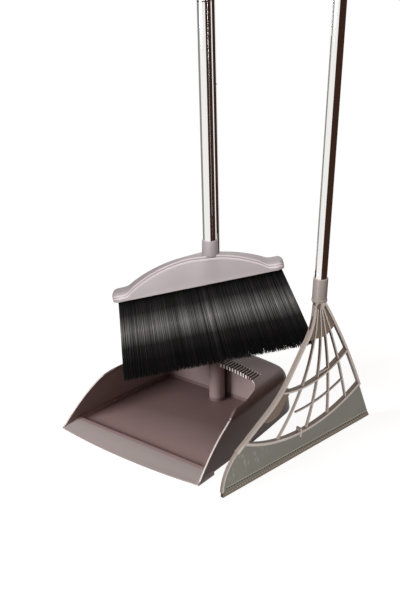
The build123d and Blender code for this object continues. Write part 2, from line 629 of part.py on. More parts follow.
def all_pieces():
    """Every node's solid by name."""
    pieces = {
        "pan_tray": pan_tray(),
        "pole_clip": pole_clip(),
        "broom_head_cover": head_cover(),
        "broom_bristle_block": bristle_block(),
        "broom_bristles": bristles(),
        "squeegee_frame": squeegee_frame(),
        "squeegee_blade": squeegee_blade(),
        "squeegee_collar": squeegee_collar(),
    }
    poles = {
        "dustpan": (Plane.XY, POLE_RADIUS, POST_FLOOR, DUSTPAN_LOWER_TUBE, DUSTPAN_UPPER_TUBE),
        "broom": (BROOM_POLE, POLE_RADIUS, HEAD_SOCKET_Z, BROOM_LOWER_TUBE, BROOM_UPPER_TUBE),
        "squeegee": (SQUEEGEE_PLANE, SQUEEGEE_POLE_RADIUS, STUD_TOP, SQUEEGEE_LOWER_TUBE, SQUEEGEE_UPPER_TUBE),
    }
    for tool, (place, radius, foot, lower, upper) in poles.items():
        for piece, solid in pole_pieces(radius, foot, lower, upper).items():
            pieces[f"{tool}_{piece}"] = place * solid
    return pieces


os.makedirs("parts", exist_ok=True)
for node, solid in all_pieces().items():
    export_step(solid, f"parts/{node}.step")
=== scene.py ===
import json
import math
import bmesh
import bpy
from mathutils import Matrix, Vector
from mathutils.bvhtree import BVHTree

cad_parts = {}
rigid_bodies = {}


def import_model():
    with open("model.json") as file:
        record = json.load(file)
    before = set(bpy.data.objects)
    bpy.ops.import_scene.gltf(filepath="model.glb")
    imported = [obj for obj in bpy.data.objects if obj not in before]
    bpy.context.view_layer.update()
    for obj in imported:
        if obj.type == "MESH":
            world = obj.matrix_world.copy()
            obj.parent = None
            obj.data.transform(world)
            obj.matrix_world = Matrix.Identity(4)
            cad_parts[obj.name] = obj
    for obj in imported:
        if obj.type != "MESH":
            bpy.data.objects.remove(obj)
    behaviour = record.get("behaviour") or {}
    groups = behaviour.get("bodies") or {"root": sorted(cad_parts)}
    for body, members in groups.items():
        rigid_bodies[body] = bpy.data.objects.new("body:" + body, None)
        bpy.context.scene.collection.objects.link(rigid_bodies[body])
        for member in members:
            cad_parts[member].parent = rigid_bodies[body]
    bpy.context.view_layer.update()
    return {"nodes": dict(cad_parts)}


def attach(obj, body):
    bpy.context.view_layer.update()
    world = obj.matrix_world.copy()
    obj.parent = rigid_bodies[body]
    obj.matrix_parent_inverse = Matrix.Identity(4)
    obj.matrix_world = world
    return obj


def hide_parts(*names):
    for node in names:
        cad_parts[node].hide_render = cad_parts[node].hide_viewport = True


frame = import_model()

bl_info = {
    "name": "Dust pan, broom and squeegee set",
    "version": (1, 0, 0),
    "blender": (4, 5, 0),
    "location": "3D View > Sidebar > Cleaning Set",
    "description": "Dresses the cleaning set's solids with moulded, steel, bristle and silicone pieces",
    "category": "Object",
}

MM = 0.001

# Places shared with the solids, in metres and radians.
BROOM_AXIS = Vector((0.0202, -0.0348, 0.0))
HEAD_FOOT = 0.2323
HEAD_TURN = math.radians(39.43)
HEAD_ROLL = math.radians(10.5)
HEAD_POLE_OFFSET = 0.019
SQUEEGEE_FOOT = Vector((0.2103, -0.0410, 0.00013))
SQUEEGEE_TURN = math.radians(82.26)
SQUEEGEE_LEAN = math.radians(3.2)
NECK_TOP = 0.2474
COLLAR_TOP = 0.2831


def linear(hex_colour):
    """Linear colour of an sRGB hex value."""
    parts = [int(hex_colour[i : i + 2], 16) / 255 for i in (1, 3, 5)]
    return (*[p / 12.92 if p <= 0.04045 else ((p + 0.055) / 1.055) ** 2.4 for p in parts], 1.0)


def frame_of(origin, along, up):
    """Matrix of a frame from its origin, its X axis and its Z axis."""
    side = up.cross(along)
    return Matrix.Translation(origin) @ Matrix((along, side, up)).transposed().to_4x4()


def head_frame():
    """The broom head's frame: X along the head, -Y its front, Z up, from the middle of its lower face."""
    flat = Vector((math.cos(HEAD_TURN), math.sin(HEAD_TURN), 0))
    along = flat * math.cos(HEAD_ROLL) + Vector((0, 0, math.sin(HEAD_ROLL)))
    up = Vector((0, 0, math.cos(HEAD_ROLL))) - flat * math.sin(HEAD_ROLL)
    foot = BROOM_AXIS + Vector((0, 0, HEAD_FOOT))
    return frame_of(foot - along * HEAD_POLE_OFFSET, along, up)


def squeegee_frame():
    """The squeegee's frame: X along the blade, -Y its front, Z up the pole, from under the pole."""
    along = Vector((math.cos(SQUEEGEE_TURN), math.sin(SQUEEGEE_TURN), 0))
    side = Vector((math.sin(SQUEEGEE_TURN), -math.cos(SQUEEGEE_TURN), 0))
    up = side * math.sin(SQUEEGEE_LEAN) + Vector((0, 0, math.cos(SQUEEGEE_LEAN)))
    return frame_of(SQUEEGEE_FOOT, along, up)


# Each tool's pole: its frame, its radius, the height of its plug's foot and its two tubes' lengths.
POLES = {
    "dustpan": (Matrix.Identity(4), 0.0105, 0.006, 0.520, 0.265),
    "broom": (Matrix.Translation(BROOM_AXIS), 0.0105, 0.247, 0.400, 0.240),
    "squeegee": (squeegee_frame(), 0.0090, 0.2594, 0.400, 0.240),
}
PLUG_FLANGE = 2.0 * MM
SEAM_RING = 1.2 * MM
GRIP_BORE_DEPTH = 76.0 * MM
HAIRLINE_ABOVE_COLLAR = 7.5 * MM

# Settings that the colours and the lengths have in common.
COLOUR = {"subtype": "COLOR", "size": 4, "min": 0, "max": 1}
LENGTH = {"unit": "LENGTH", "min": 0}


class PanSettings(bpy.types.PropertyGroup):
    """The moulded pan's finish."""

    colour: bpy.props.FloatVectorProperty(
        name="Pan colour", description="Brown mauve of the pan and the two grips",
        default=linear("#9C8B8A"), **COLOUR)
    edge: bpy.props.FloatProperty(
        name="Pan edge rounding", description="Radius left on the pan's moulded edges",
        default=0.5 * MM, **LENGTH)


class PoleSettings(bpy.types.PropertyGroup):
    """The steel poles' finish."""

    colour: bpy.props.FloatVectorProperty(
        name="Steel colour", description="Tint of the polished tubes",
        default=linear("#F1EFEC"), **COLOUR)
    wall: bpy.props.FloatProperty(
        name="Tube wall", description="Wall thickness of the tubes", default=0.5 * MM, **LENGTH)
    plug_colour: bpy.props.FloatVectorProperty(
        name="Plug colour", description="Dark plugs, seam rings and spigots",
        default=linear("#3B3431"), **COLOUR)
    grip_rings: bpy.props.IntProperty(
        name="Grip rings", description="Raised rings round each grip", min=2, default=9)


class BroomSettings(bpy.types.PropertyGroup):
    """The broom head and its bristles."""

    colour: bpy.props.FloatVectorProperty(
        name="Head colour", description="Pale mauve grey of the broom head",
        default=linear("#C5BDC1"), **COLOUR)
    bristle_colour: bpy.props.FloatVectorProperty(
        name="Bristle colour", description="Black of the drawn strands",
        default=linear("#0B0A0B"), **COLOUR)
    bristle_length: bpy.props.FloatProperty(
        name="Bristle length", description="Length of the strands below the head",
        default=134.5 * MM, **LENGTH)
    strand_width: bpy.props.FloatProperty(
        name="Strand width", description="Thickness of one strand", default=0.8 * MM, **LENGTH)
    columns: bpy.props.IntProperty(
        name="Strands along", description="Strands along the head in one row", min=2, default=312)
    rows: bpy.props.IntProperty(
        name="Strand rows", description="Rows of strands across the head", min=2, default=20)


class SqueegeeSettings(bpy.types.PropertyGroup):
    """The squeegee's frame and blade."""

    colour: bpy.props.FloatVectorProperty(
        name="Frame colour", description="Beige grey of the fan frame",
        default=linear("#B9B0A9"), **COLOUR)
    edge: bpy.props.FloatProperty(
        name="Frame edge rounding", description="Radius left on the frame's moulded edges",
        default=0.6 * MM, **LENGTH)
    blade_colour: bpy.props.FloatVectorProperty(
        name="Blade colour", description="Grey green of the silicone blade",
        default=linear("#7C7C73"), **COLOUR)
    tooth_pitch: bpy.props.FloatProperty(
        name="Tooth pitch", description="Spacing of the teeth in the blade's two rows", unit="LENGTH",
        min=0.001, default=5.2 * MM)


class StageSettings(bpy.types.PropertyGroup):
    """Floor and light."""

    key_power: bpy.props.FloatProperty(
        name="Key power", description="Power of the large soft light", subtype="POWER", min=0, default=48)
    fill: bpy.props.FloatProperty(
        name="Fill", description="Strength of the even light from all round", min=0, default=0.12)
    shadow: bpy.props.FloatProperty(
        name="Shadow", description="Share of the floor that takes shade", subtype="FACTOR",
        min=0, max=0.9, default=0.35)


GROUPS = {
    "cleaning_pan": PanSettings,
    "cleaning_poles": PoleSettings,
    "cleaning_broom": BroomSettings,
    "cleaning_squeegee": SqueegeeSettings,
    "cleaning_stage": StageSettings,
}


FAMILIES = ("ShaderNode", "GeometryNode", "FunctionNode", "")


def add(tree, kind, *inputs, **settings):
    """Adds a node with its settings, and fills or links its open inputs in order, or by name from a dict.

    The kind goes without its family. A node among the inputs stands for its first open output.
    """
    family = next(word for word in FAMILIES if hasattr(bpy.types, word + kind))
    made = tree.nodes.new(family + kind)
    for name, value in settings.items():
        setattr(made, name, value)
    if inputs and isinstance(inputs[0], dict):
        pairs = [(made.inputs[name], value) for name, value in inputs[0].items()]
    else:
        pairs = zip([socket for socket in made.inputs if socket.enabled], inputs)
    for socket, value in pairs:
        if isinstance(value, bpy.types.Node):
            value = next(output for output in value.outputs if output.enabled)
        if isinstance(value, bpy.types.NodeSocket):
            tree.links.new(value, socket)
        else:
            socket.default_value = value
    return made


def blank_material(name):
    """A material with an empty node tree."""
    material = bpy.data.materials.new(name)
    material.use_nodes = True
    material.node_tree.nodes.clear()
    return material, material.node_tree


def scaled(colour, share):
    """A colour made lighter or darker by a share."""
    return (*[min(1.0, c * share) for c in colour[:3]], 1.0)


def toned(tree, plain, pale, dark):
    """A colour drawn towards a pale or a dark one by the mesh's own tone mark, which runs from 1 to -1:
    painted highlight and painted shade.
    """
    mark = add(tree, "Attribute", attribute_name="tone").outputs["Fac"]
    up = add(tree, "MapRange", mark)
    down = add(tree, "MapRange", mark, 0.0, -1.0)
    lighter = add(tree, "Mix", up, plain, pale, data_type="RGBA")
    return add(tree, "Mix", down, lighter, dark, data_type="RGBA")


def moulded_polypropylene(name, colour, roughness, gloss, tone=None, edge_wear_and_highlight=0.45):
    """Injection-moulded polypropylene: faint flow clouds, a satin spark-eroded grain and paler edges,
    partly wear and partly a painted highlight.
    """
    material, tree = blank_material(name)
    place = add(tree, "TexCoord").outputs["Object"]
    # Flow clouds are about 35 mm across.
    clouds = add(tree, "TexNoise", {"Vector": place, "Scale": 1 / 0.035, "Detail": 3.0, "Roughness": 0.55})
    tint = add(tree, "Mix", clouds, scaled(colour, 0.92), scaled(colour, 1.08), data_type="RGBA")
    # The eroded grain is about 0.3 mm and is drawn at 1.6 mm so that it shows.
    grain = add(tree, "TexNoise", {"Vector": place, "Scale": 1 / 0.0016, "Detail": 2.0})
    # Sharp edges are painted paler: partly wear, partly a painted highlight where they catch the light.
    edge = add(tree, "MapRange", add(tree, "NewGeometry").outputs["Pointiness"], 0.52, 0.62, 0.0, edge_wear_and_highlight)
    worn_and_highlit = add(tree, "Mix", edge, tint, scaled(colour, 1.7), data_type="RGBA")
    shown = tone(tree, worn_and_highlit, colour) if tone else worn_and_highlit
    satin = add(tree, "MapRange", grain, 0.0, 1.0, roughness - 0.06, roughness + 0.06)
    relief = add(tree, "Bump", {"Height": grain, "Strength": 0.12, "Distance": 0.0002})
    shader = add(tree, "BsdfPrincipled", {
        "Base Color": shown, "Roughness": satin, "Normal": relief, "IOR": 1.49,
        "Specular IOR Level": gloss})
    add(tree, "OutputMaterial", shader)
    return material


# Where the pan's painted light and shade change, in metres: the tray's floor, the ramp's ridge, the tray's
# depth, the painted shadow line with its half width, and the hood's rise. TRAY_SLANT is the share of X that
# the depth takes up.
FLOOR_TOP = (0.0098, 0.0088)
RAMP_RIDGE = (-0.1965, -0.1985)
TRAY_DEPTH = (-0.187, -0.08)
TRAY_SLANT = -0.15
PAINTED_SHADOW_LINE = (-0.1892, 0.001)
HOOD_RISE = (0.056, 0.0715)


def pan_painted_light_and_shade(tree, plain, colour):
    """The pan's colour: painted sheen on its ramp, painted highlights on its rims, painted shade in its
    tray and slots.
    """
    spot = add(tree, "SeparateXYZ", add(tree, "TexCoord").outputs["Object"]).outputs
    low = add(tree, "MapRange", spot["Z"], *FLOOR_TOP)
    ahead = add(tree, "MapRange", spot["Y"], *RAMP_RIDGE)
    ramp = add(tree, "Math", ahead, low, operation="MULTIPLY")
    # The tray's painted shade deepens inwards and a little to the left, and its front is painted lighter.
    run = add(tree, "Math", spot["X"], TRAY_SLANT, spot["Y"], operation="MULTIPLY_ADD")
    inward = add(tree, "MapRange", run, *TRAY_DEPTH)
    depth = add(tree, "Mix", inward, (1.40, 1.30, 1.30, 1), (0.64, 0.56, 0.55, 1), data_type="RGBA")
    tray = add(tree, "Mix", low, plain, depth, data_type="RGBA", blend_type="MULTIPLY")
    # A painted shadow lies in a line of 2 mm behind the ramp's ridge.
    near = add(tree, "Math", spot["Y"], *PAINTED_SHADOW_LINE, operation="COMPARE")
    line = add(tree, "Math", near, low, operation="MULTIPLY")
    lined = add(tree, "Mix", line, tray, (0.45, 0.40, 0.39, 1), data_type="RGBA", blend_type="MULTIPLY")
    # The hood's top is darkened with painted shade.
    high = add(tree, "MapRange", spot["Z"], *HOOD_RISE)
    hood = add(tree, "Mix", high, lined, (0.74, 0.68, 0.66, 1), data_type="RGBA", blend_type="MULTIPLY")
    # The ramp is painted paler as a painted sheen.
    ramp_painted_sheen = add(tree, "Mix", ramp, hood, linear("#BDB3B2"), data_type="RGBA")
    # Tone marks paint highlights on the rims and shade in the slots and on the web's side.
    return toned(tree, ramp_painted_sheen, linear("#EDE4E0"), scaled(colour, 0.16))


def fan_painted_light_and_shade(tree, plain, colour):
    """The fan's colour: painted brown shade on its thin plates and upper faces, painted light on its outer
    and lower left sides.
    """
    return toned(tree, plain, scaled(colour, 1.7), linear("#6E5E50"))


def head_painted_bead_highlights(tree, plain, colour):
    """The head's colour: a painted highlight along its beads and painted shade in the cove between them."""
    return toned(tree, plain, scaled(colour, 1.8), scaled(colour, 0.74))


def polished_stainless(name, colour):
    """Polished stainless tube: a mirror drawn out along the tube, with fine lengthwise polishing lines."""
    material, tree = blank_material(name)
    place = add(tree, "TexCoord").outputs["Object"]
    # Polishing lines are about 0.1 mm apart and are drawn at 1 mm so that they show.
    stretched = add(tree, "Mapping", {"Vector": place, "Scale": (1000.0, 1000.0, 6.0)})
    lines = add(tree, "TexNoise", {"Vector": stretched, "Scale": 1.0, "Detail": 2.0})
    tint = add(tree, "Mix", lines, scaled(colour, 0.93), scaled(colour, 1.04), data_type="RGBA")
    gloss = add(tree, "MapRange", lines, 0.0, 1.0, 0.04, 0.09)
    shader = add(tree, "BsdfPrincipled", {"Base Color": tint, "Roughness": gloss, "Metallic": 1.0})
    add(tree, "OutputMaterial", shader)
    return material


def drawn_polyester(name, colour):
    """Drawn polyester strands: black and smooth, with a painted grey sheen band where they bow to the
    light.
    """
    material, tree = blank_material(name)
    strand = add(tree, "Attribute", attribute_name="strand_shade").outputs["Fac"]
    # The painted sheen draws the strands' colour towards near white.
    tint = add(tree, "Mix", strand, colour, linear("#FAF8F9"), data_type="RGBA")
    gloss = add(tree, "MapRange", strand, 0.0, 1.0, 0.5, 0.36)
    shader = add(tree, "BsdfPrincipled", {
        "Base Color": tint, "Roughness": gloss, "IOR": 1.57, "Specular IOR Level": 0.05})
    add(tree, "OutputMaterial", shader)
    return material


def matte_silicone(name, colour, lip_colour):
    """Moulded silicone: dull and a little milky, with pale mottles towards its upper left and a browner
    lip.
    """
    material, tree = blank_material(name)
    sheet = add(tree, "Attribute", attribute_name="own_place").outputs["Vector"]
    spot = add(tree, "SeparateXYZ", sheet).outputs
    # Pale mottles are about 6 mm apart and drawn out upwards, on clouds of about 60 mm.
    drawn = add(tree, "VectorMath", sheet, (167.0, 167.0, 83.0), operation="MULTIPLY")
    mottles = add(tree, "TexVoronoi", {"Vector": drawn, "Scale": 1.0})
    clouds = add(tree, "TexNoise", {"Vector": sheet, "Scale": 1 / 0.06, "Detail": 1.0})
    dots = add(tree, "MapRange", mottles.outputs["Distance"], 0.42, 0.12, 0.0, 0.85)
    leftward = add(tree, "MapRange", spot["X"], -0.085, -0.125)
    upward = add(tree, "MapRange", spot["Z"], 0.016, 0.03)
    corner = add(tree, "Math", upward, leftward, operation="MULTIPLY")
    pale_mottles = add(tree, "Math", dots, corner, operation="MULTIPLY")
    base = add(tree, "Mix", clouds, scaled(colour, 0.92), scaled(colour, 1.08), data_type="RGBA")
    mottled = add(tree, "Mix", pale_mottles, base, scaled(colour, 1.7), data_type="RGBA")
    lip = add(tree, "MapRange", spot["Z"], 0.0072, 0.0068)
    tint = add(tree, "Mix", lip, mottled, lip_colour, data_type="RGBA")
    shader = add(tree, "BsdfPrincipled", {
        "Base Color": tint, "Roughness": 0.6, "IOR": 1.41, "Specular IOR Level": 0.3})
    add(tree, "OutputMaterial", shader)
    return material


def placed(name, data):
    """A new object in the scene."""
    made = bpy.data.objects.new(name, data)
    bpy.context.scene.collection.objects.link(made)
    return made


def finished(name, mesh, material, body, nodes):
    """Puts a mesh on the part as a piece that rides on a body and stands for the nodes."""
    mesh.materials.clear()
    mesh.materials.append(material)
    piece = placed(name, mesh)
    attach(piece, body)
    if nodes:
        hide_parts(*nodes)


def evaluated_mesh(name, mesh, modifier_kind, **settings):
    """The plain mesh that a modifier makes of a mesh."""
    bench = placed(name, mesh)
    modifier = bench.modifiers.new(modifier_kind.title(), modifier_kind)
    for setting, value in settings.items():
        if setting in modifier.bl_rna.properties:
            setattr(modifier, setting, value)
        else:
            modifier[setting] = value
    bpy.context.view_layer.update()
    made = bpy.data.meshes.new_from_object(bench.evaluated_get(bpy.context.evaluated_depsgraph_get()))
    bench.modifiers.remove(modifier)
    bpy.data.objects.remove(bench)
    made.name = name
    return made


def smooth(mesh, degrees):
    """Smooth shading, broken at edges sharper than an angle."""
    mesh.shade_smooth()
    mesh.set_sharp_from_angle(angle=math.radians(degrees))
    return mesh


SHARP_EDGE = 28


def softened_node(node, edge):
    """A copy of a solid's mesh, joined up, with its sharp edges rounded as a mould leaves them."""
    shape = bmesh.new()
    shape.from_mesh(frame["nodes"][node].data)
    bmesh.ops.remove_doubles(shape, verts=shape.verts, dist=0.01 * MM)
    bmesh.ops.dissolve_limit(shape, angle_limit=math.radians(0.5), verts=shape.verts, edges=shape.edges)
    mesh = bpy.data.meshes.new(node + "_soft")
    shape.to_mesh(mesh)
    shape.free()
    if "custom_normal" in mesh.attributes:
        mesh.attributes.remove(mesh.attributes["custom_normal"])
    return evaluated_mesh(
        node + "_soft", smooth(mesh, SHARP_EDGE), "BEVEL", width=edge, segments=2, limit_method="ANGLE",
        angle_limit=math.radians(SHARP_EDGE), use_clamp_overlap=True, harden_normals=True)


def mesh_of(name, points, faces):
    """A mesh with joined doubles and outward faces."""
    shape = bmesh.new()
    corners = [shape.verts.new(p) for p in points]
    for face in faces:
        shape.faces.new([corners[i] for i in face])
    bmesh.ops.remove_doubles(shape, verts=shape.verts, dist=0.001 * MM)
    bmesh.ops.recalc_face_normals(shape, faces=shape.faces)
    mesh = bpy.data.meshes.new(name)
    shape.to_mesh(mesh)
    shape.free()
    return mesh


def ring_faces(rings, around, closed):
    """Faces between closed rings of points, with the last ring joined to the first or both ends capped."""
    faces = []
    for ring in range(rings if closed else rings - 1):
        for step in range(around):
            low, high = ring * around, (ring + 1) % rings * around
            after = (step + 1) % around
            faces.append((low + step, low + after, high + after, high + step))
    if not closed:
        faces.append(tuple(range(around)))
        faces.append(tuple((rings - 1) * around + step for step in range(around)))
    return faces


def circle(around):
    """The cosine and sine of each step round a circle."""
    turns = [2 * math.pi * step / around for step in range(around)]
    return [(math.cos(turn), math.sin(turn)) for turn in turns]


def turned(name, profile, place):
    """A shape turned round the frame's Z axis from a closed profile of radii and heights."""
    around = 96
    points = []
    for radius, height in profile:
        points += [place @ Vector((radius * x, radius * y, height)) for x, y in circle(around)]
    return smooth(mesh_of(name, points, ring_faces(len(profile), around, True)), 40)


def tube(name, place, low, high, radius, wall, hairline=None):
    """A steel tube with its cut ends just eased and, where it has one, a hairline rolled round it."""
    ease = 0.15 * MM
    bore = radius - wall
    profile = [(bore, low), (radius - ease, low), (radius, low + ease)]
    if hairline:
        profile += [(radius, hairline - ease), (radius - ease, hairline), (radius, hairline + ease)]
    profile += [(radius, high - ease), (radius - ease, high), (bore, high)]
    return turned(name, profile, place)


def stamped(mesh, place):
    """Marks each point of a mesh with where it lies in the piece's own frame."""
    inward = place.inverted()
    mark = mesh.attributes.new("own_place", "FLOAT_VECTOR", "POINT")
    for spot, point in zip(mark.data, mesh.vertices):
        spot.vector = inward @ point.co
    return mesh


# What picks faces for the pan's painted highlights and shade: a rim's width and the plastic behind it, a
# slot's gap, and half the web.
RIM_WIDTH = 3.5 * MM
RIM_DEPTH = 6 * MM
SLOT_GAP = 5 * MM
WEB_HALF = 9 * MM


def mark_painted_rims_and_shade(mesh):
    """Marks narrow faces with deep plastic behind them for a painted highlight, and slots and the web's
    side for painted shade.
    """
    corners = [point.co for point in mesh.vertices]
    solid = BVHTree.FromPolygons(corners, [face.vertices for face in mesh.polygons])
    mark = mesh.attributes.new("tone", "FLOAT", "FACE")
    for spot, face in zip(mark.data, mesh.polygons):
        outline = [corners[corner] for corner in face.vertices]
        round_it = sum((outline[step] - outline[step - 1]).length for step in range(len(outline)))
        width = 2 * face.area / round_it
        lift = face.normal * 0.05 * MM
        behind = solid.ray_cast(face.center - lift, -face.normal)[3] or 0.0
        ahead = solid.ray_cast(face.center + lift, face.normal)[3] or 1.0
        rim = width < RIM_WIDTH and behind > RIM_DEPTH
        web = face.normal.x > 0.9 and face.center.y > 0 and abs(face.center.x) < WEB_HALF
        spot.value = float(rim) - 2.0 * float(ahead < SLOT_GAP or web)
    return mesh


class CLEANING_OT_pan(bpy.types.Operator):
    """Makes the moulded dust pan."""

    bl_idname = "cleaning.pan"
    bl_label = "Dust pan"

    def execute(self, context):
        settings = context.scene.cleaning_pan
        moulding = moulded_polypropylene("pan_polypropylene", settings.colour, 0.42, 0.3, pan_painted_light_and_shade, 0.0)
        mesh = mark_painted_rims_and_shade(softened_node("pan_tray", settings.edge))
        finished("pan_moulding", mesh, moulding, "dustpan", ["pan_tray"])
        return {"FINISHED"}


class CLEANING_OT_poles(bpy.types.Operator):
    """Makes the three poles: plug, two tubes and the spigot whose ring shows as a seam."""

    bl_idname = "cleaning.poles"
    bl_label = "Steel poles"

    def execute(self, context):
        settings = context.scene.cleaning_poles
        steel = polished_stainless("polished_stainless", settings.colour)
        dark = moulded_polypropylene("plug_polypropylene", settings.plug_colour, 0.5, 0.3)
        for tool, (place, radius, foot, lower, upper) in POLES.items():
            start = foot + PLUG_FLANGE
            seam = start + lower
            rest = seam + SEAM_RING
            hairline = COLLAR_TOP + HAIRLINE_ABOVE_COLLAR if tool == "squeegee" else None
            tubes = {
                f"{tool}_pole_lower": (start, seam, hairline),
                f"{tool}_pole_upper": (rest, rest + upper, None),
            }
            for node, (low, high, line) in tubes.items():
                mesh = tube(node + "_tube", place, low, high, radius, settings.wall, line)
                finished(node + "_tube", mesh, steel, tool, [node])
            for piece in ("plug", "spigot"):
                node = f"{tool}_pole_{piece}"
                mesh = softened_node(node, 0.2 * MM)
                finished(node + "_moulding", mesh, dark, tool, [node])
        return {"FINISHED"}


class CLEANING_OT_clip(bpy.types.Operator):
    """Makes the clip that holds the broom to the dust pan's pole."""

    bl_idname = "cleaning.clip"
    bl_label = "Pole clip"

    def execute(self, context):
        colour = context.scene.cleaning_broom.colour
        moulding = moulded_polypropylene("clip_polypropylene", colour, 0.42, 0.35)
        # A larger rounding would fold the end faces at the jaw's lips.
        mesh = softened_node("pole_clip", 0.3 * MM)
        finished("pole_clip_moulding", mesh, moulding, "clip", ["pole_clip"])
        return {"FINISHED"}


# The broom head's own sizes, in millimetres of its frame.
HEAD_ENDS = (-137.5, 135.5)
HEAD_FOOT_HALF = 19.0
HEAD_TOP_HALF = 7.8
HEAD_HEIGHT = 44.2
ARCH_RADIUS = 212.0
ARCH_END = 119.4
LOBE_START = 98.0
LOBE_FULL = 120.0
LOBE_HEIGHT = 13.2
LOBE_ROUND = 7.0
OGEE_SOFTNESS = 2.0
END_ROUND = 12.0
FOOT_EASE = 0.6
PANEL_SWELL = 0.15
PANEL_DROP = 3.8
LOBE_PANEL_DROP = 6.8
RIM_ROUND = 1.0
LOBE_RIM_ROUND = 4.6
BEAD_HALF = 0.8
CROWN_SWELL = 0.3
SOCKET_X = 19.0
SOCKET_BOSS = 4.5
SOCKET_BOSS_REACH = 17.0
SEAT_HALF_LENGTH = 129.2
SEAT_HALF_WIDTH = 15.7
SEAT_DEPTH = 7.15
# The pole socket's profile: radii round the pole and heights above the floor.
SOCKET_PROFILE = (
    (10.6, 273.8), (12.3, 273.8), (12.7, 274.4), (12.6, 279.0),
    (11.95, 298.2), (11.6, 298.9), (11.1, 299.0), (10.6, 299.0))


def rounding(gap, radius):
    """How far an edge of a given radius has drawn in at a distance from its end."""
    left = max(0.0, radius - gap)
    return radius - math.sqrt(radius**2 - left**2)


def lobe_share(x):
    """How far a place along the head has passed from the arch into a lobe."""
    share = min(1.0, max(0.0, (abs(x) - LOBE_START) / (LOBE_FULL - LOBE_START)))
    return share * share * (3 - 2 * share)


def end_gap(x):
    """Distance of a place along the head from its nearer end."""
    return min(x - HEAD_ENDS[0], HEAD_ENDS[1] - x)


def head_lines(x):
    """Heights of the head's top and of its front panel's upper edge, and the top edge's rounding.

    The top is an arch that runs out in an ogee to a level lobe with a rounded end.
    """
    across = min(abs(x), ARCH_END)
    arch = HEAD_HEIGHT - ARCH_RADIUS + math.sqrt(ARCH_RADIUS**2 - across**2)
    ogee = math.hypot(arch - LOBE_HEIGHT, OGEE_SOFTNESS)
    top = (arch + LOBE_HEIGHT + ogee) / 2 - rounding(end_gap(x), LOBE_ROUND)
    lobe = lobe_share(x)
    panel = top - PANEL_DROP - (LOBE_PANEL_DROP - PANEL_DROP) * lobe
    return top, panel, RIM_ROUND + (LOBE_RIM_ROUND - RIM_ROUND) * lobe


def head_section(x):
    """The ring of points round the head at one place: panel, beads and cove, crown, back and seat."""
    top, panel, edge = head_lines(x)
    boss = SOCKET_BOSS * math.exp(-(((x - SOCKET_X) / SOCKET_BOSS_REACH) ** 2))
    drawn_in = rounding(end_gap(x), END_ROUND)
    crisp = 1 - lobe_share(x)
    step = 0.5 + 1.5 * crisp
    bead = 0.3 + 0.3 * crisp

    def half(z):
        slope = (HEAD_FOOT_HALF - HEAD_TOP_HALF - boss) / HEAD_HEIGHT
        return HEAD_FOOT_HALF - slope * z - drawn_in

    edge = min(edge, 0.7 * half(top))
    inset = min(edge * (1.5 - 0.5 * crisp), 0.7 * half(top))
    turns = [math.radians(angle) for angle in (30, 60, 90)]
    # The front, as heights and distances inwards from the sloping side.
    front = [(0.0, FOOT_EASE), (FOOT_EASE, 0.0), (panel * 0.3, -PANEL_SWELL)]
    front += [(panel - 3 * BEAD_HALF, -PANEL_SWELL), (panel - 2 * BEAD_HALF, 0.0)]
    front += [(panel - BEAD_HALF, -bead), (panel, 0.1), (panel + 0.6, 0.6 * step), (panel + 1.0, step)]
    front += [(top - edge - BEAD_HALF, step), (top - edge, step - bead)]
    front += [(top - edge + edge * math.sin(turn), step + inset * (1 - math.cos(turn))) for turn in turns]
    ring = []
    for count, (z, inward) in enumerate(front):
        z = min(max(z, 0.06 * count), top)
        ring.append((inward - half(z), z))
    flat = half(top) - inset
    ring += [(flat * share, top + CROWN_SWELL * (1 - abs(share))) for share in (-0.5, 0.0, 0.5)]
    for turn in reversed(turns):
        ring.append((flat + inset * math.cos(turn), top - edge + edge * math.sin(turn)))
    ring += [(half(0.3 * top), 0.3 * top), (half(0), FOOT_EASE), (half(0) - FOOT_EASE, 0)]
    seat = min(SEAT_HALF_WIDTH, half(0) - 1.0)
    depth = SEAT_DEPTH if abs(x) < SEAT_HALF_LENGTH else 0.0
    ring += [(seat, 0.0), (seat, depth), (-seat, depth), (-seat, 0.0)]
    return [Vector((x, y, z)) * MM for y, z in ring]


def mark_head_painted_highlights(cover):
    """Marks the beads along the head's front for a painted highlight and the cove between them for painted
    shade.
    """
    mark = cover.attributes.new("tone", "FLOAT", "POINT")
    for spot, point in zip(mark.data, cover.vertices):
        x, y, z = point.co / MM
        top, panel, edge = head_lines(x)
        bead = -1.7 < z - panel < 0.1 or -0.9 < z - top + edge < 0.6
        cove = panel + 0.3 < z < top - edge - 1.0
        spot.value = 0.0 if y > 0 else float(bead) - float(cove)
    return cover


def head_cover_mesh():
    """The arched cover as a loft of sections, closer together at the ends and at the seat's walls."""
    low, high = HEAD_ENDS
    turns = 200
    places = [low + (high - low) * (1 - math.cos(math.pi * step / turns)) / 2 for step in range(turns + 1)]
    places += [side * (SEAT_HALF_LENGTH + gap) for side in (-1, 1) for gap in (-0.01, 0.01)]
    rings = [head_section(x) for x in sorted(places)]
    points = [point for ring in rings for point in ring]
    faces = ring_faces(len(rings), len(rings[0]), False)
    cover = mark_head_painted_highlights(mesh_of("broom_head_cover_loft", points, faces))
    cover.transform(head_frame())
    return smooth(cover, 32)


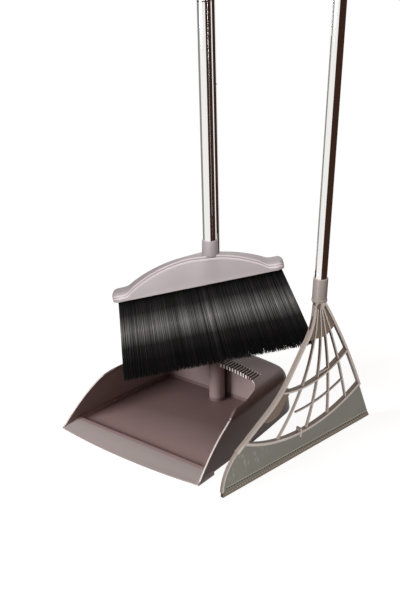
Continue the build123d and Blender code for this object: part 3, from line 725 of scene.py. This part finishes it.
class CLEANING_OT_broom_head(bpy.types.Operator):
    """Makes the broom head's cover, its pole socket and the block that closes it."""

    bl_idname = "cleaning.broom_head"
    bl_label = "Broom head"

    def execute(self, context):
        colour = context.scene.cleaning_broom.colour
        moulding = moulded_polypropylene("head_polypropylene", colour, 0.38, 0.35, head_painted_bead_highlights)
        cover = head_cover_mesh()
        finished("broom_head_moulding", cover, moulding, "broom", ["broom_head_cover"])
        profile = [(radius * MM, height * MM) for radius, height in SOCKET_PROFILE]
        socket = turned("broom_socket", profile, Matrix.Translation(BROOM_AXIS))
        finished("broom_socket_moulding", socket, moulding, "broom", [])
        block = softened_node("broom_bristle_block", 0.5 * MM)
        finished(
            "bristle_block_moulding", block, moulding, "broom", ["broom_bristle_block"])
        return {"FINISHED"}


def new_tree(name, inputs):
    """An empty geometry tree with named inputs, and its input sockets."""
    tree = bpy.data.node_groups.new(name, "GeometryNodeTree")
    tree.interface.new_socket("Geometry", in_out="OUTPUT", socket_type="NodeSocketGeometry")
    for title, kind in inputs.items():
        tree.interface.new_socket(title, in_out="INPUT", socket_type="NodeSocket" + kind)
    return tree, add(tree, "NodeGroupInput").outputs


def end_tree(tree, geometry, material):
    """Shades a tree's geometry smooth, makes it real, gives it its material and hands it out."""
    rounded = add(tree, "SetShadeSmooth", geometry)
    whole = add(tree, "RealizeInstances", rounded)
    painted = add(tree, "SetMaterial", {"Geometry": whole, "Material": material})
    add(tree, "NodeGroupOutput", painted)
    return tree


def bristle_tree(material):
    """Node tree that grows flared, clumped strands with ragged tips from a grid of roots."""
    tree, size = new_tree("bristle_strands", {
        "Root Length": "Float", "Root Width": "Float", "Columns": "Int", "Rows": "Int",
        "Strand Length": "Float", "Strand Width": "Float", "End Flare": "Float", "Side Flare": "Float",
        "End Shift": "Float", "Seed": "Int"})
    grid = add(tree, "MeshGrid", {
        "Size X": size["Root Length"], "Size Y": size["Root Width"], "Vertices X": size["Columns"],
        "Vertices Y": size["Rows"]})
    shake = add(tree, "RandomValue", {
        0: (-0.0007, -0.0005, 0.0), 1: (0.0007, 0.0005, 0.0), "Seed": size["Seed"]},
        data_type="FLOAT_VECTOR")
    shaken = add(tree, "SetPosition", {"Geometry": grid, "Offset": shake})
    rooted = add(tree, "StoreNamedAttribute", {
        "Geometry": shaken, "Name": "root", "Value": add(tree, "InputPosition")}, data_type="FLOAT_VECTOR")
    chance = add(tree, "RandomValue", {"Seed": size["Rows"]}, data_type="FLOAT")
    lotted = add(tree, "StoreNamedAttribute", {
        "Geometry": rooted, "Name": "lot", "Value": chance}, data_type="FLOAT")
    line = add(tree, "CurvePrimitiveLine", {"Start": (0, 0, 0), "End": (0, 0, -1)})
    strand = add(tree, "ResampleCurve", {"Curve": line, "Count": 6})
    sown = add(tree, "InstanceOnPoints", {"Points": lotted, "Instance": strand})
    grown = add(tree, "RealizeInstances", sown)

    root = add(tree, "InputNamedAttribute", "root", data_type="FLOAT_VECTOR")
    lot = add(tree, "InputNamedAttribute", "lot", data_type="FLOAT")
    down = add(tree, "SplineParameter").outputs["Factor"]
    # Strands lean out to the ends evenly, and to the sides mostly in their middle third.
    bow = add(tree, "MapRange", down, 0.05, 0.8, interpolation_type="SMOOTHSTEP")
    roots = add(tree, "CombineXYZ", size["Root Length"], size["Root Width"], 1.0)
    share = add(tree, "VectorMath", root, roots, operation="DIVIDE")
    flare = add(tree, "CombineXYZ", size["End Flare"], size["Side Flare"], 0.0)
    reach = add(tree, "VectorMath", share, flare, operation="MULTIPLY")
    reach = add(tree, "VectorMath", reach, 2.0, operation="SCALE")
    course = add(tree, "CombineXYZ", down, bow, 0.0)
    shift = add(tree, "CombineXYZ", size["End Shift"], 0.0, 0.0)
    reach = add(tree, "VectorMath", reach, shift, operation="ADD")
    lean = add(tree, "VectorMath", reach, course, root, operation="MULTIPLY_ADD")
    # Clumps are about 5 mm wide and gather towards the tips.
    clumps = add(tree, "TexNoise", {"Vector": root, "Scale": 1 / 0.005, "Detail": 1.0})
    clump = clumps.outputs["Color"]
    late = add(tree, "Math", down, 2.0, operation="POWER")
    pull = add(tree, "VectorMath", clump, (0.5, 0.5, 0.5), operation="SUBTRACT")
    pull = add(tree, "VectorMath", pull, (0.005, 0.005, 0.0), operation="MULTIPLY")
    sway = add(tree, "VectorMath", pull, late, operation="SCALE")
    blue = add(tree, "FunctionNodeSeparateColor", {"Color": clump}).outputs["Blue"]
    ragged = add(tree, "Math", lot, 0.010, 0.979, operation="MULTIPLY_ADD")
    ragged = add(tree, "Math", blue, 0.008, ragged, operation="MULTIPLY_ADD")
    depth = add(tree, "Math", size["Strand Length"], down, operation="MULTIPLY")
    depth = add(tree, "Math", depth, ragged, operation="MULTIPLY")
    drop = add(tree, "VectorMath", (0, 0, -1), depth, operation="SCALE")
    place = add(tree, "VectorMath", lean, sway, operation="ADD")
    place = add(tree, "VectorMath", place, drop, operation="ADD")
    bent = add(tree, "SetPosition", {"Geometry": grown, "Position": place})
    # The painted sheen band lies below the roots and fades towards the tips, with streaks about 1 mm wide
    # in it.
    waxing = add(tree, "MapRange", down, 0.14, 0.40, interpolation_type="SMOOTHSTEP")
    waning = add(tree, "MapRange", down, 0.64, 0.42, 0.03, interpolation_type="SMOOTHSTEP")
    band = add(tree, "Math", waxing, waning, operation="MULTIPLY")
    flat = add(tree, "VectorMath", root, (1.0, 0.25, 0.0), operation="MULTIPLY")
    streak = add(tree, "TexNoise", {"Vector": flat, "Scale": 1 / 0.001, "Detail": 1.0})
    streak = add(tree, "MapRange", streak, 0.33, 0.67)
    luck = add(tree, "Math", lot, 0.5, 0.58, operation="MULTIPLY_ADD")
    streak = add(tree, "Math", luck, streak, operation="MULTIPLY")
    shade = add(tree, "Math", band, streak, operation="MULTIPLY")
    marked = add(tree, "StoreNamedAttribute", {
        "Geometry": bent, "Name": "strand_shade", "Value": shade}, data_type="FLOAT")
    radius = add(tree, "Math", size["Strand Width"], 0.5, operation="MULTIPLY")
    section = add(tree, "CurvePrimitiveCircle", {"Resolution": 3, "Radius": radius})
    solid = add(tree, "CurveToMesh", {"Curve": marked, "Profile Curve": section, "Fill Caps": True})
    return end_tree(tree, solid, material)


def grown_mesh(name, tree, sizes):
    """The plain mesh that a node tree makes from its named sizes."""
    numbers = {socket.name: socket.identifier for socket in tree.interface.items_tree}
    values = {numbers[size]: value for size, value in sizes.items()}
    made = evaluated_mesh(name, bpy.data.meshes.new(name + "_seed"), "NODES", node_group=tree, **values)
    if len(made.polygons) == 0:
        raise RuntimeError(f"the tree of {name} made nothing")
    return made


class CLEANING_OT_bristles(bpy.types.Operator):
    """Grows the broom's bristles from the block."""

    bl_idname = "cleaning.bristles"
    bl_label = "Bristles"

    def execute(self, context):
        settings = context.scene.cleaning_broom
        strands = drawn_polyester("black_polyester_strands", settings.bristle_colour)
        mesh = grown_mesh("bristle_strands", bristle_tree(strands), {
            "Root Length": 257 * MM, "Root Width": 25 * MM,
            "Columns": settings.columns, "Rows": settings.rows,
            "Strand Length": settings.bristle_length, "Strand Width": settings.strand_width,
            "End Flare": 26 * MM, "Side Flare": 10 * MM, "End Shift": 3.5 * MM, "Seed": 7})
        mesh.transform(head_frame())
        finished("broom_bristle_strands", mesh, strands, "broom", ["broom_bristles"])
        return {"FINISHED"}


# What picks the fan's faces for painted light and shade in its own frame: half the thickness of its plates
# and of its inner ribs, where its outer left member ends, and the climb over which its spokes' left sides
# turn from pale to dark.
PLATE_HALF = 1.3 * MM
RIB_HALF = 2.05 * MM
OUTER_MEMBER_END = -8 * MM
CLIMB_FOOT = 70 * MM
CLIMB_HEIGHT = 90 * MM


def mark_fan_painted_light_and_shade(mesh, place):
    """Marks painted shade on the fan's plates, its ribs' upper faces and its spokes' left sides, and
    painted light lower down.
    """
    inward = place.inverted()
    turn = place.to_3x3().inverted()
    mark = mesh.attributes.new("tone", "FLOAT", "CORNER")
    for face in mesh.polygons:
        facing = turn @ face.normal
        spots = [inward @ mesh.vertices[corner].co for corner in face.vertices]
        reach = max(abs(spot.y) for spot in spots)
        plate = abs(facing.y) > 0.9 and reach < PLATE_HALF
        outer = max(spot.x for spot in spots) < OUTER_MEMBER_END and reach > RIB_HALF
        for loop, spot in zip(face.loop_indices, spots):
            # Left sides are painted light low down and painted shade high up; upward faces and plates get
            # painted shade.
            climb = 0.0 if outer else min(1.0, max(0.0, (spot.z - CLIMB_FOOT) / CLIMB_HEIGHT))
            side = 0.8 - 1.8 * climb if facing.x < -0.5 else -0.75 * float(facing.z > 0.6)
            mark.data[loop].value = -1.0 if plate else side
    return mesh


# The collar's profile in millimetres: radii, and heights above the neck, with two beads at the foot.
COLLAR_PROFILE = (
    (9.1, 0.0), (10.9, 0.0), (11.4, 0.4), (11.4, 1.3), (10.5, 1.6), (10.5, 2.3), (11.4, 2.6),
    (11.4, 3.4), (10.7, 3.8), (10.7, 34.5), (10.4, 35.3), (9.9, 35.7), (9.1, 35.7))


class CLEANING_OT_squeegee_frame(bpy.types.Operator):
    """Makes the squeegee's fan frame and collar."""

    bl_idname = "cleaning.squeegee_frame"
    bl_label = "Squeegee frame"

    def execute(self, context):
        settings = context.scene.cleaning_squeegee
        place = squeegee_frame()
        fan_plastic = moulded_polypropylene("fan_polypropylene", settings.colour, 0.4, 0.3, fan_painted_light_and_shade)
        fan = mark_fan_painted_light_and_shade(softened_node("squeegee_frame", settings.edge), place)
        finished("squeegee_fan_moulding", fan, fan_plastic, "squeegee", ["squeegee_frame"])
        profile = [(radius * MM, NECK_TOP + height * MM) for radius, height in COLLAR_PROFILE]
        plain = moulded_polypropylene("collar_polypropylene", settings.colour, 0.32, 0.45)
        collar = turned("squeegee_collar", profile, place)
        finished("pole_collar_moulding", collar, plain, "squeegee", ["squeegee_collar"])
        return {"FINISHED"}


def teeth_tree(material):
    """Node tree that sets a row of small raised teeth along both faces of the blade."""
    tree, size = new_tree("blade_teeth", {
        "First": "Float", "Height": "Float", "Pitch": "Float", "Fall": "Float", "Teeth": "Int",
        "Face Depth": "Float", "Tooth Size": "Vector"})
    start = add(tree, "CombineXYZ", size["First"], 0.0, size["Height"])
    step = add(tree, "CombineXYZ", size["Pitch"], 0.0, size["Fall"])
    line = add(tree, "MeshLine", {"Count": size["Teeth"], "Start Location": start, "Offset": step})
    tooth = add(tree, "MeshIcoSphere", {"Radius": 1.0, "Subdivisions": 2})
    row = add(tree, "InstanceOnPoints", {"Points": line, "Instance": tooth, "Scale": size["Tooth Size"]})
    both = add(tree, "JoinGeometry")
    behind = add(tree, "Math", size["Face Depth"], -1.0, operation="MULTIPLY")
    for depth in (size["Face Depth"], behind):
        shift = add(tree, "CombineXYZ", 0.0, depth, 0.0)
        face = add(tree, "Transform", {"Geometry": row, "Translation": shift})
        tree.links.new(face.outputs["Geometry"], both.inputs["Geometry"])
    return end_tree(tree, both, material)


# The blade's rows of teeth: colour, height at the left end, fall for each length, depth of the face they
# stand on and half sizes of a tooth.
TEETH = {
    "dark": ("#2E2822", 11.2 * MM, 0.0107, 1.5 * MM, Vector((1.6, 0.4, 1.1)) * MM),
    "pale": ("#B3AB9D", 5.4 * MM, 0.0, 2.3 * MM, Vector((1.3, 0.3, 0.8)) * MM),
}
TEETH_ENDS = (-0.180, 0.134)
# The bead's two ends, as places along the blade and heights, and half its thickness and height.
BEAD_ENDS = ((-0.181, 0.0142), (0.1395, 0.0108))
BEAD_HALVES = (2.0 * MM, 0.7 * MM)


def blade_bead(place):
    """A thin bead that stands out along both faces of the blade above its teeth."""
    around = 12
    deep, tall = BEAD_HALVES
    points = []
    for x, height in BEAD_ENDS:
        points += [place @ Vector((x, deep * y, height + tall * z)) for y, z in circle(around)]
    return smooth(mesh_of("blade_bead", points, ring_faces(2, around, False)), 40)


class CLEANING_OT_blade(bpy.types.Operator):
    """Makes the silicone blade with the bead and the two rows of teeth along it."""

    bl_idname = "cleaning.blade"
    bl_label = "Silicone blade"

    def execute(self, context):
        settings = context.scene.cleaning_squeegee
        place = squeegee_frame()
        silicone = matte_silicone("moulded_silicone", settings.blade_colour, linear("#7B7164"))
        blade = stamped(softened_node("squeegee_blade", 0.4 * MM), place)
        finished("squeegee_silicone_blade", blade, silicone, "squeegee", ["squeegee_blade"])
        # The bead is coloured pale, a painted highlight along the step that catches the light.
        colour = linear("#B3AA9B")
        pale = matte_silicone("silicone_bead", colour, colour)
        bead = stamped(blade_bead(place), place)
        finished("squeegee_blade_bead", bead, pale, "squeegee", [])
        pitch = settings.tooth_pitch
        first, last = TEETH_ENDS
        for row, (hex_colour, height, fall, depth, tooth) in TEETH.items():
            colour = linear(hex_colour)
            material = matte_silicone(row + "_silicone_teeth", colour, colour)
            teeth = grown_mesh(row + "_teeth", teeth_tree(material), {
                "First": first, "Height": height, "Pitch": pitch, "Fall": -fall * pitch,
                "Teeth": int((last - first) / pitch) + 1, "Face Depth": depth, "Tooth Size": tooth})
            teeth.transform(place)
            piece = f"squeegee_blade_{row}_teeth"
            finished(piece, stamped(teeth, place), material, "squeegee", [])
        return {"FINISHED"}


def ring_tree(material):
    """Node tree that lays raised rings round a swelling grip, one at each step up it."""
    tree, size = new_tree("grip_rings", {
        "Rings": "Int", "First": "Float", "Pitch": "Float", "Foot Radius": "Float", "Swell": "Float",
        "Waist": "Float", "Bead": "Float"})
    start = add(tree, "CombineXYZ", 0.0, 0.0, size["First"])
    step = add(tree, "CombineXYZ", 0.0, 0.0, size["Pitch"])
    stack = add(tree, "MeshLine", {"Count": size["Rings"], "Start Location": start, "Offset": step})
    spot = add(tree, "SeparateXYZ", add(tree, "InputPosition"))
    height = spot.outputs["Z"]
    slope = add(tree, "Math", height, size["Waist"], size["Swell"], operation="MULTIPLY_ADD")
    radius = add(tree, "Math", height, slope, size["Foot Radius"], operation="MULTIPLY_ADD")
    spread = add(tree, "CombineXYZ", radius, radius, 1.0)
    loop = add(tree, "CurvePrimitiveCircle", {"Resolution": 48, "Radius": 1.0})
    rings = add(tree, "InstanceOnPoints", {"Points": stack, "Instance": loop, "Scale": spread})
    loops = add(tree, "RealizeInstances", rings)
    section = add(tree, "CurvePrimitiveCircle", {"Resolution": 8, "Radius": size["Bead"]})
    solid = add(tree, "CurveToMesh", {"Curve": loops, "Profile Curve": section})
    return end_tree(tree, solid, material)


# The rings' first height and their span on a grip. The grip swells from 1.9 mm over the pole at its foot to
# 3.7 mm and back to 2.3 mm at its waist, and the rings' radius follows it as a curve of the height.
RINGS_FOOT = 9 * MM
RINGS_SPAN = 56 * MM
RINGS_OVER_POLE = 1.8 * MM
GRIP_SWELL = 0.0832
GRIP_WAIST = -0.934


class CLEANING_OT_grips(bpy.types.Operator):
    """Makes the three grips and the raised rings round them."""

    bl_idname = "cleaning.grips"
    bl_label = "Grips"

    def execute(self, context):
        scene = context.scene
        count = scene.cleaning_poles.grip_rings
        colours = {"pan_plastic": scene.cleaning_pan.colour, "fan_plastic": scene.cleaning_squeegee.colour}
        for tool, (place, radius, foot, lower, upper) in POLES.items():
            slot = "fan_plastic" if tool == "squeegee" else "pan_plastic"
            moulding = moulded_polypropylene(tool + "_grip_polypropylene", colours[slot], 0.45, 0.3)
            mesh = softened_node(tool + "_grip", 0.8 * MM)
            finished(tool + "_grip_moulding", mesh, moulding, tool, [tool + "_grip"])
            raised = grown_mesh(tool + "_grip_rings", ring_tree(moulding), {
                "Rings": count, "First": RINGS_FOOT, "Pitch": RINGS_SPAN / (count - 1),
                "Foot Radius": radius + RINGS_OVER_POLE, "Swell": GRIP_SWELL, "Waist": GRIP_WAIST,
                "Bead": 0.9 * MM})
            grip_foot = foot + PLUG_FLANGE + lower + SEAM_RING + upper - GRIP_BORE_DEPTH
            raised.transform(place @ Matrix.Translation((0, 0, grip_foot)))
            finished(tool + "_grip_ring_beads", raised, moulding, tool, [])
        return {"FINISHED"}


def seen_directly(tree):
    """A node that gives 1 for what the camera, a mirror or glass shows, and 0 for light on things."""
    path = add(tree, "LightPath").outputs
    seen = add(tree, "Math", path["Is Camera Ray"], path["Is Glossy Ray"], operation="MAXIMUM")
    return add(tree, "Math", seen, path["Is Transmission Ray"], operation="MAXIMUM")


# The middle of the set on the floor, the distances from it over which the floor stops taking shade, and the
# share of white that the lit sheet reflects.
SET_MIDDLE = (0.1, -0.05, 0)
SHADE_FADE = (0.3, 0.8)
SHEET_LIT = 0.2


def paper_floor(shade):
    """White paper: seen as plain white, with a share of it near the set left to take the set's shade."""
    paper, tree = blank_material("white_paper_floor")
    seen = seen_directly(tree)
    place = add(tree, "TexCoord").outputs["Object"]
    away = add(tree, "VectorMath", place, SET_MIDDLE, operation="DISTANCE")
    dim = add(tree, "MapRange", away, *SHADE_FADE, 1 - shade)
    share = add(tree, "Math", seen, dim, operation="MULTIPLY")
    # The rest of the sheet makes up for its dull share.
    lift = add(tree, "MapRange", away, *SHADE_FADE, (1 - SHEET_LIT * shade) / (1 - shade))
    # Light that the paper would throw back up at the object is held down.
    tone = add(tree, "Mix", seen, linear("#9A9896"), linear("#F4F3F2"), data_type="RGBA")
    dull = add(tree, "BsdfDiffuse", {"Color": tone})
    bright = add(tree, "Emission", {"Color": (1, 1, 1, 1), "Strength": lift})
    sheet = add(tree, "MixShader", share, dull, bright)
    add(tree, "OutputMaterial", sheet)
    return paper


def white_room(fill):
    """A world that is seen as white, and gives the set only an even warm fill."""
    world = bpy.data.worlds.new("studio")
    world.use_nodes = True
    tree = world.node_tree
    tree.nodes.clear()
    warm = scaled(linear("#FFD4C0"), 1.1 * fill)
    sky = add(tree, "Mix", seen_directly(tree), warm, (1, 1, 1, 1), data_type="RGBA")
    light = add(tree, "Background", {"Color": sky, "Strength": 1.0})
    add(tree, "OutputWorld", light)
    return world


CARD_MIDDLE = Vector((0.1, -0.03, 0))
CARD_DISTANCE = 0.58
CARD_HEIGHT = 1.1


def studio_card(name, first, last, colour):
    """An upright curved card round the poles, between two bearings, that only gloss shows."""
    card, tree = blank_material(name)
    glow = add(tree, "Emission", {"Color": colour, "Strength": 1.0})
    add(tree, "OutputMaterial", glow)
    steps = 24
    points = []
    for step in range(steps + 1):
        bearing = math.radians(first + (last - first) * step / steps)
        foot = CARD_MIDDLE + Vector((math.cos(bearing), math.sin(bearing), 0)) * CARD_DISTANCE
        points += [foot, foot + Vector((0, 0, CARD_HEIGHT))]
    faces = [(2 * step, 2 * step + 2, 2 * step + 3, 2 * step + 1) for step in range(steps)]
    sheet = placed(name, mesh_of(name, points, faces))
    sheet.data.materials.append(card)
    for ray in ("camera", "diffuse", "transmission", "volume_scatter", "shadow"):
        setattr(sheet, "visible_" + ray, False)


def soft_light(name, place, target, width, height, power):
    """A rectangular soft light that faces a point."""
    lamp = bpy.data.lights.new(name, "AREA")
    lamp.shape = "RECTANGLE"
    lamp.size = width
    lamp.size_y = height
    lamp.energy = power
    holder = placed(name, lamp)
    holder.location = place
    holder.rotation_euler = (Vector(target) - Vector(place)).to_track_quat("-Z", "Y").to_euler()
    return holder


def light_apart(name, lamp, pieces, link_state):
    """Makes a lamp light only some pieces, or all but them."""
    group = bpy.data.collections.new(name)
    for piece in pieces:
        group.objects.link(piece)
    for member in group.collection_objects:
        member.light_linking.link_state = link_state
    lamp.light_linking.receiver_collection = group


# First words of the names of the pieces that the broom's and the fan's own lights fall on.
FACE_LIT = ("broom_head", "broom_socket", "broom_bristle", "pole_collar")
FAN_LIT = ("squeegee_fan", "squeegee_silicone", "squeegee_blade")

# The camera that was fitted to the photograph: its place, its level axes and how far it is rolled.
CAMERA_PLACE = (0.8864, -1.1161, 0.7544)
CAMERA_RIGHT = Vector((0.7724, 0.6351, 0.0))
CAMERA_UP = Vector((-0.2364, 0.2875, 0.9281))
CAMERA_ROLL = math.radians(1.638)
CAMERA_LENS = 56.76


def fitted_camera():
    """The camera that sees the set as the photograph does."""
    camera = placed("camera", bpy.data.cameras.new("camera"))
    camera.data.sensor_fit = "VERTICAL"
    camera.data.sensor_height = 36.0
    camera.data.lens = CAMERA_LENS
    camera.data.clip_end = 30.0
    across = CAMERA_RIGHT * math.cos(CAMERA_ROLL) - CAMERA_UP * math.sin(CAMERA_ROLL)
    above = CAMERA_RIGHT * math.sin(CAMERA_ROLL) + CAMERA_UP * math.cos(CAMERA_ROLL)
    turn = Matrix((across, above, across.cross(above))).transposed().to_4x4()
    camera.matrix_world = Matrix.Translation(CAMERA_PLACE) @ turn
    return camera


class CLEANING_OT_stage(bpy.types.Operator):
    """Makes the floor, the soft studio light and the camera."""

    bl_idname = "cleaning.stage"
    bl_label = "Stage"

    def execute(self, context):
        scene = context.scene
        settings = scene.cleaning_stage
        scene.view_settings.view_transform = "Standard"
        pieces = list(scene.objects)
        tubes = [piece for piece in pieces if piece.name.endswith("_tube")]
        broom = [piece for piece in pieces if piece.name.startswith(FACE_LIT)]
        fan = [piece for piece in pieces if piece.name.startswith(FAN_LIT)]

        half = 6.0
        corners = [Vector((x * half, y * half, -0.2 * MM)) for x, y in ((-1, -1), (1, -1), (1, 1), (-1, 1))]
        floor = placed("floor", mesh_of("floor", corners, [(0, 1, 2, 3)]))
        floor.data.materials.append(paper_floor(settings.shadow))
        scene.world = white_room(settings.fill)

        # The steel shows a brown wall to the right and a grey one behind. Plastic shows a narrow panel.
        studio_card("brown_wall", -46.0, 74.0, linear("#3A2720"))
        studio_card("grey_wall", 150.0, 212.0, linear("#8F8D8B"))
        shine = soft_light("shine_panel", (0.176, -0.605, 0.55), (0.1, -0.03, 0.55), 0.07, 1.1, 2.2)
        shine.visible_diffuse = False
        light_apart("beside_shine", shine, tubes, "EXCLUDE")

        # The pan and grips stand in low light from the front left. The broom and fan have their own lights.
        power = settings.key_power
        key = soft_light("key", (-0.75, -2.05, 0.85), (0.02, -0.05, 0.12), 1.0, 1.0, power)
        light_apart("beside_key", key, broom + fan, "EXCLUDE")
        face = soft_light("broom_light", (0.6, -1.6, 1.75), (0.02, -0.04, 0.25), 1.0, 1.0, power * 0.75)
        light_apart("lit_broom", face, broom, "INCLUDE")
        side = soft_light("fan_light", (2.0, -0.75, 0.75), (0.2, -0.03, 0.15), 1.0, 1.0, power * 0.65)
        light_apart("lit_fan", side, fan, "INCLUDE")

        scene.camera = fitted_camera()
        return {"FINISHED"}


OPERATORS = (
    CLEANING_OT_pan, CLEANING_OT_poles, CLEANING_OT_grips, CLEANING_OT_clip, CLEANING_OT_broom_head,
    CLEANING_OT_bristles, CLEANING_OT_squeegee_frame, CLEANING_OT_blade, CLEANING_OT_stage)


class CLEANING_PT_set(bpy.types.Panel):
    """Lists the set's pieces and their settings."""

    bl_idname = "CLEANING_PT_set"
    bl_label = "Cleaning set"
    bl_space_type = "VIEW_3D"
    bl_region_type = "UI"
    bl_category = "Cleaning Set"

    def draw(self, context):
        for operator in OPERATORS:
            self.layout.operator(operator.bl_idname)
        for group in GROUPS:
            box = self.layout.box()
            for name in GROUPS[group].__annotations__:
                box.prop(getattr(context.scene, group), name)


def register():
    """Registers the settings, operators and panel."""
    for name, group in GROUPS.items():
        bpy.utils.register_class(group)
        setattr(bpy.types.Scene, name, bpy.props.PointerProperty(type=group))
    for operator in OPERATORS:
        bpy.utils.register_class(operator)
    bpy.utils.register_class(CLEANING_PT_set)


def unregister():
    """Takes the settings, operators and panel away again."""
    bpy.utils.unregister_class(CLEANING_PT_set)
    for operator in reversed(OPERATORS):
        bpy.utils.unregister_class(operator)
    for name, group in GROUPS.items():
        delattr(bpy.types.Scene, name)
        bpy.utils.unregister_class(group)


def main():
    """Makes every piece and the stage."""
    register()
    for operator in OPERATORS:
        family, piece = operator.bl_idname.split(".")
        getattr(getattr(bpy.ops, family), piece)()


if __name__ == "__main__":
    main()
